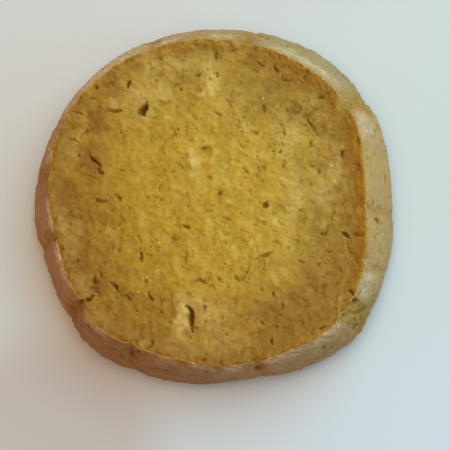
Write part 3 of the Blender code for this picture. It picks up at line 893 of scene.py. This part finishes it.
def sow_sugar(dough):
    """Sets grains of sugar into the crust wherever the dough is marked as a bed for them."""
    crystal = carve_crystal()
    sugar = dough.copy()
    sugar.data = dough.data.copy()
    sugar.name = "sugar_crystals"
    bpy.context.scene.collection.objects.link(sugar)
    shape = "NodeSocketGeometry"
    tree, given, result = new_group("sow_sugar", "GeometryNodeTree", {"Bed": shape}, {"Sugar": shape})
    bed = add_node(tree, "GeometryNodeInputNamedAttribute", {"Name": "sugar_bed"}, data_type="FLOAT")
    spread = {
        "Mesh": given["Bed"],
        "Distance Min": CRYSTAL_GAP * MM,
        "Density Max": CRYSTALS_PER_MM2 / MM**2,
        "Density Factor": bed.outputs["Attribute"],
        "Seed": CRYSTAL_SEED,
    }
    spots = add_node(tree, "GeometryNodeDistributePointsOnFaces", spread, distribute_method="POISSON")
    into = {"Vector": spots.outputs["Normal"], "Scale": -CRYSTAL_SUNK * MM}
    down = add_node(tree, "ShaderNodeVectorMath", into, operation="SCALE").outputs["Vector"]
    sunk = add_node(tree, "GeometryNodeSetPosition", {"Geometry": spots.outputs["Points"], "Offset": down})
    shade = add_node(tree, "FunctionNodeRandomValue", {"Seed": 1}, data_type="FLOAT")
    label = {"Geometry": sunk.outputs["Geometry"], "Name": "clearness", "Value": shade.outputs["Value"]}
    marked = add_node(tree, "GeometryNodeStoreNamedAttribute", label, data_type="FLOAT", domain="POINT")
    any_way = {"Max": (2 * math.pi, 2 * math.pi, 2 * math.pi), "Seed": 2}
    turn = add_node(tree, "FunctionNodeRandomValue", any_way, data_type="FLOAT_VECTOR")
    size = add_node(tree, "FunctionNodeRandomValue", {"Min": 0.55, "Max": 1.25, "Seed": 3}, data_type="FLOAT")
    grain = add_node(tree, "GeometryNodeObjectInfo", {"Object": crystal})
    copies = {
        "Points": marked.outputs["Geometry"],
        "Instance": grain.outputs["Geometry"],
        "Rotation": turn.outputs["Value"],
        "Scale": size.outputs["Value"],
    }
    grown = add_node(tree, "GeometryNodeInstanceOnPoints", copies)
    real = add_node(tree, "GeometryNodeRealizeInstances", {"Geometry": grown.outputs["Instances"]})
    tree.links.new(real.outputs["Geometry"], result.inputs["Sugar"])
    sow = sugar.modifiers.new("sow", "NODES")
    sow.node_group = tree
    apply_modifier(sugar, sow)
    sugar.data.materials.clear()
    bpy.data.objects.remove(crystal)
    return sugar


def mottle_group():
    """Soft uneven spots of a size in mm, 0 to 1 with soft edges."""
    number = "NodeSocketFloat"
    inputs = {"Vector": "NodeSocketVector", "Size": number, "Detail": number, "Low": number, "High": number}
    tree, given, result = new_group("mottle", "ShaderNodeTree", inputs, {"Mask": number})
    scale = add_node(tree, "ShaderNodeMath", {0: 1 / MM, 1: given["Size"]}, operation="DIVIDE")
    noise_feeds = {
        "Vector": given["Vector"],
        "Scale": scale.outputs[0],
        "Detail": given["Detail"],
        "Roughness": 0.6,
    }
    spots = add_node(tree, "ShaderNodeTexNoise", noise_feeds)
    edges = {"Value": spots.outputs["Fac"], "From Min": given["Low"], "From Max": given["High"]}
    soft = add_node(tree, "ShaderNodeMapRange", edges, interpolation_type="SMOOTHSTEP")
    tree.links.new(soft.outputs["Result"], result.inputs["Mask"])
    return tree


def crumb_group():
    """The finest crumb at a size in mm: a height for bumps, tiny dark pores and tiny pale grains."""
    number = "NodeSocketFloat"
    inputs = {"Vector": "NodeSocketVector", "Size": number}
    outputs = {"Height": number, "Pores": number, "Grains": number}
    tree, given, result = new_group("fine_crumb", "ShaderNodeTree", inputs, outputs)
    scale = add_node(tree, "ShaderNodeMath", {0: 1 / MM, 1: given["Size"]}, operation="DIVIDE").outputs[0]
    rough_feeds = {"Vector": given["Vector"], "Scale": scale, "Detail": 4.0, "Roughness": 0.65}
    rough = add_node(tree, "ShaderNodeTexNoise", rough_feeds).outputs["Fac"]
    cells = {"Vector": given["Vector"], "Scale": scale}
    grain = add_node(tree, "ShaderNodeTexVoronoi", cells).outputs["Distance"]
    dips = add_node(tree, "ShaderNodeMath", {0: grain, 1: 0.5}, operation="MULTIPLY")
    height = add_node(tree, "ShaderNodeMath", {0: rough, 1: dips.outputs[0]}, operation="SUBTRACT")
    dark = {"Value": rough, "From Min": 0.42, "From Max": 0.32}
    pores = add_node(tree, "ShaderNodeMapRange", dark, interpolation_type="SMOOTHSTEP")
    light = {"Value": grain, "From Min": 0.20, "From Max": 0.08}
    grains_seen = add_node(tree, "ShaderNodeMapRange", light, interpolation_type="SMOOTHSTEP")
    tree.links.new(height.outputs[0], result.inputs["Height"])
    tree.links.new(pores.outputs["Result"], result.inputs["Pores"])
    tree.links.new(grains_seen.outputs["Result"], result.inputs["Grains"])
    return tree


def new_material(name):
    """A material with its tree, its shader and the place of each point on the object."""
    material = bpy.data.materials.new(name)
    material.use_nodes = True
    tree = material.node_tree
    place = add_node(tree, "ShaderNodeTexCoord").outputs["Object"]
    return material, tree, tree.nodes["Principled BSDF"], place


def mottle(tree, place, size, low, high, detail=2.0):
    """The mask of one mottle group with its own values."""
    values = {"Vector": place, "Size": size, "Low": low, "High": high, "Detail": detail}
    return add_node(tree, "ShaderNodeGroup", values, node_tree=MOTTLE).outputs["Mask"]


def read(tree, name):
    """A number that the mesh carries at each point."""
    return add_node(tree, "ShaderNodeAttribute", attribute_name=name).outputs["Fac"]


def times(tree, first, second):
    """Two values multiplied, and kept between 0 and 1."""
    feeds = {0: first, 1: second}
    return add_node(tree, "ShaderNodeMath", feeds, operation="MULTIPLY", use_clamp=True).outputs[0]


def scaled(tree, value, low, high):
    """A value from 0 to 1 taken to the range from low to high."""
    feeds = {"Value": value, "To Min": low, "To Max": high}
    return add_node(tree, "ShaderNodeMapRange", feeds).outputs["Result"]


def blend(tree, factor, under, over, way="MIX"):
    """A colour laid over another by a factor."""
    feeds = {"Factor": factor, "A": under, "B": over}
    return add_node(tree, "ShaderNodeMix", feeds, data_type="RGBA", blend_type=way).outputs["Result"]


def face_colour(tree, place, fine):
    """Golden crumb with olive and buttery spots, browned towards the rim, with an orange line inside it that is
    caramel and painted shade of the lip, painted light and shade across it, cream spots that are partly painted
    highlight, and painted shade in its pores.
    """
    colour = blend(tree, scaled(tree, mottle(tree, place, 4.5, 0.40, 0.62), 0, 0.55), GOLDEN, OLIVE)
    colour = blend(tree, scaled(tree, mottle(tree, place, 1.1, 0.46, 0.66), 0, 0.50), colour, OLIVE)
    colour = blend(tree, scaled(tree, mottle(tree, place, 1.5, 0.50, 0.70, 3.0), 0, 0.55), colour, BUTTER)
    brown = times(tree, read(tree, "toasted"), scaled(tree, mottle(tree, place, 1.3, 0.36, 0.62), 0.65, 1.0))
    colour = blend(tree, brown, colour, TAN)
    colour = blend(tree, times(tree, brown, brown), colour, BROWNED)
    # Caramel line inside the rim, also painted shade of the lip's inner slope
    colour = blend(tree, read(tree, "caramel_and_lip_shade"), colour, CARAMEL_AND_LIP_SHADE)
    # Painted light and shade: warmer and darker on the side away from the window, paler and cooler towards it
    colour = blend(tree, 1.0, colour, blend(tree, read(tree, "painted_light_side"), PAINTED_SHADE_SIDE, PAINTED_LIGHT_SIDE), "MULTIPLY")
    spots = mottle(tree, place, 0.9, 0.35, 0.60)
    # Cream spots, and painted highlight on the rim's lumps
    colour = blend(tree, times(tree, read(tree, "cream_and_lump_highlight"), scaled(tree, spots, 0.18, 0.50)), colour, CREAM)
    colour = blend(tree, times(tree, read(tree, "pale"), scaled(tree, spots, 0.45, 0.90)), colour, BUTTER)
    colour = blend(tree, scaled(tree, fine["Grains"], 0, 0.20), colour, CREAM)
    # Painted shade in the finest pores
    return blend(tree, scaled(tree, fine["Pores"], 0, 0.30), colour, CRACK_SHADE)


def wall_colour(tree, place, fine):
    """Baked dough under a crust of melted sugar, pinker and paler by spots, frosted along its top, with painted
    shade by angle.
    """
    cover = times(tree, read(tree, "sugared"), scaled(tree, mottle(tree, place, 0.8, 0.34, 0.60), 0.65, 1.0))
    crust = blend(tree, mottle(tree, place, 4.0, 0.40, 0.62, 3.0), CRUST, PINK_CRUST)
    baked = blend(tree, mottle(tree, place, 3.5, 0.38, 0.60, 3.0), BARE_WALL, DARK_WALL)
    colour = blend(tree, cover, baked, crust)
    colour = blend(tree, read(tree, "deep_brown"), colour, baked)
    icy = times(tree, read(tree, "frosted"), scaled(tree, mottle(tree, place, 0.7, 0.38, 0.62), 0.55, 1.0))
    # Painted shade on the wall, by angle
    colour = blend(tree, read(tree, "painted_wall_shade"), colour, WALL_SHADE_TINT, "MULTIPLY")
    colour = blend(tree, icy, colour, FROST)
    return blend(tree, scaled(tree, fine["Pores"], 0, 0.20), colour, BARE_WALL)


def dough_material():
    """Butter dough: its face, its sugared wall and its brown tray side, with painted shade in its dips, cracks
    and pores.
    """
    material, tree, shader, place = new_material("baked_dough")
    fine = add_node(tree, "ShaderNodeGroup", {"Vector": place, "Size": 0.36}, node_tree=FINE_CRUMB).outputs
    on_face = read(tree, "crumb_shows")
    colour = blend(tree, on_face, wall_colour(tree, place, fine), face_colour(tree, place, fine))
    tray_side = blend(tree, mottle(tree, place, 3.0, 0.38, 0.62), TRAY_SIDE, BROWNED)
    colour = blend(tree, read(tree, "underside"), colour, tray_side)
    # Painted shade in the dips of the relief
    shaded = scaled(tree, read(tree, "high"), 1.0, 0.0)
    colour = blend(tree, shaded, colour, DIP_SHADE, "MULTIPLY")
    # Painted shade in cracks, pits and pores
    hollow = read(tree, "hollow")
    colour = blend(tree, hollow, colour, CRACK_SHADE)
    tree.links.new(colour, shader.inputs["Base Color"])
    rough = blend(tree, on_face, (0.55, 0.55, 0.55, 1), (0.68, 0.68, 0.68, 1))
    rough = blend(tree, hollow, rough, (0.95, 0.95, 0.95, 1))
    tree.links.new(rough, shader.inputs["Roughness"])
    bump = add_node(tree, "ShaderNodeBump", {"Strength": 0.6, "Distance": 0.12 * MM, "Height": fine["Height"]})
    tree.links.new(bump.outputs["Normal"], shader.inputs["Normal"])
    shader.inputs["Specular IOR Level"].default_value = 0.35
    return material


def sugar_material():
    """Sugar grains that the oven glazed: some clear and pale, some stained by the dough."""
    material, tree, shader, place = new_material("sugar_grains")
    clear = read(tree, "clearness")
    stained = times(tree, clear, scaled(tree, mottle(tree, place, 2.4, 0.36, 0.62), 0.5, 1.0))
    colour = blend(tree, stained, CRYSTAL_BROWN, CRYSTAL_CLEAR)
    colour = blend(tree, read(tree, "frosted"), colour, FROST)
    colour = blend(tree, read(tree, "crumb_shows"), colour, BUTTER)
    tree.links.new(colour, shader.inputs["Base Color"])
    tree.links.new(scaled(tree, clear, 0.9, 0.72), shader.inputs["Roughness"])
    shader.inputs["Specular IOR Level"].default_value = 0.14
    return material


def lay_floor():
    """A plain pale floor, with painted light that makes it slightly cooler towards the window and warmer away
    from it.
    """
    pick_nothing()
    bpy.ops.mesh.primitive_plane_add(size=FLOOR_SIZE)
    floor = bpy.context.object
    floor.name = "floor"
    material, tree, shader, place = new_material("pale_floor")
    turn = (0, 0, math.radians(FLOOR_TURN))
    turned = add_node(tree, "ShaderNodeMapping", {"Vector": place, "Rotation": turn})
    apart = add_node(tree, "ShaderNodeSeparateXYZ", {"Vector": turned.outputs["Vector"]})
    reach = {"Value": apart.outputs["X"], "From Min": -FLOOR_FADE * MM, "From Max": FLOOR_FADE * MM}
    side = add_node(tree, "ShaderNodeMapRange", reach, interpolation_type="SMOOTHSTEP").outputs["Result"]
    depth = add_node(tree, "ShaderNodeSeparateXYZ", {"Vector": place}).outputs["Y"]
    nearer = {"Value": depth, "From Min": FLOOR_NEAR[0] * MM, "From Max": FLOOR_NEAR[1] * MM}
    near = add_node(tree, "ShaderNodeMapRange", nearer, interpolation_type="SMOOTHSTEP").outputs["Result"]
    cool = blend(tree, near, FLOOR_COOL_FAR, FLOOR_COOL_NEAR)
    corner = [part * MM for part in SHADE_MIDDLE]
    away = add_node(tree, "ShaderNodeVectorMath", {0: place, 1: corner}, operation="DISTANCE").outputs["Value"]
    spread = {"Value": away, "From Min": SHADE_REACH[1] * MM, "From Max": SHADE_REACH[0] * MM}
    shade = add_node(tree, "ShaderNodeMapRange", spread, interpolation_type="SMOOTHSTEP").outputs["Result"]
    # Painted light: cooler towards the window, warmer away from it
    tints = blend(tree, side, FLOOR_WARM, cool)
    tree.links.new(blend(tree, shade, tints, FLOOR_SHADE, "MULTIPLY"), shader.inputs["Base Color"])
    shader.inputs["Roughness"].default_value = 0.6
    floor.data.materials.append(material)


def hang_lamp(name, place, size, power, colour):
    """A soft square lamp that faces the slice."""
    lamp = bpy.data.lights.new(name, "AREA")
    lamp.shape = "SQUARE"
    lamp.size = size
    lamp.energy = power
    lamp.color = colour
    stand = bpy.data.objects.new(name, lamp)
    bpy.context.scene.collection.objects.link(stand)
    stand.location = place
    stand.rotation_euler = (-stand.location).to_track_quat("-Z", "Y").to_euler()


def light_room():
    """Cool daylight from the upper right, a warm lamp overhead and a dim warm room."""
    world = bpy.data.worlds.new("room")
    bpy.context.scene.world = world
    world.use_nodes = True
    tree = world.node_tree
    warm = tree.nodes["Background"]
    warm.inputs["Color"].default_value = ROOM_COLOUR
    warm.inputs["Strength"].default_value = ROOM_STRENGTH
    pale = add_node(tree, "ShaderNodeBackground", {"Color": ROOM_SEEN}).outputs[0]
    seen = add_node(tree, "ShaderNodeLightPath").outputs["Is Camera Ray"]
    both = add_node(tree, "ShaderNodeMixShader", {0: seen, 1: warm.outputs[0], 2: pale})
    tree.links.new(both.outputs[0], tree.nodes["World Output"].inputs["Surface"])
    for lamp in LAMPS:
        hang_lamp(*lamp)


def place_camera():
    """Almost straight above, leaning a little to the lower right, as the slice was looked down on."""
    tilt = math.radians(CAMERA_TILT)
    back = Vector((CAMERA_SIDE[0] * math.sin(tilt), CAMERA_SIDE[1] * math.sin(tilt), math.cos(tilt)))
    up = (Vector((0, 1, 0)) - back * back.y).normalized()
    side = up.cross(back)
    data = bpy.data.cameras.new("camera")
    data.lens = CAMERA_LENS
    camera = bpy.data.objects.new("camera", data)
    bpy.context.scene.collection.objects.link(camera)
    camera.location = Vector(CAMERA_AIM) * MM + back * CAMERA_REACH
    camera.rotation_euler = Matrix((side, up, back)).transposed().to_euler()
    bpy.context.scene.camera = camera


MOTTLE = mottle_group()
FINE_CRUMB = crumb_group()

dough = turn_slice()
press_to_outline(dough)
mesh_finely(dough)
roughen(dough)
thin_out(dough)
line_up(dough)
dough.data.materials.append(dough_material())
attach(dough, "root")
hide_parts("cookie")

sugar = sow_sugar(dough)
sugar.data.materials.append(sugar_material())
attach(sugar, "root")
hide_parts("cookie")

lay_floor()
light_room()
place_camera()
bpy.context.scene.view_settings.view_transform = "Standard"
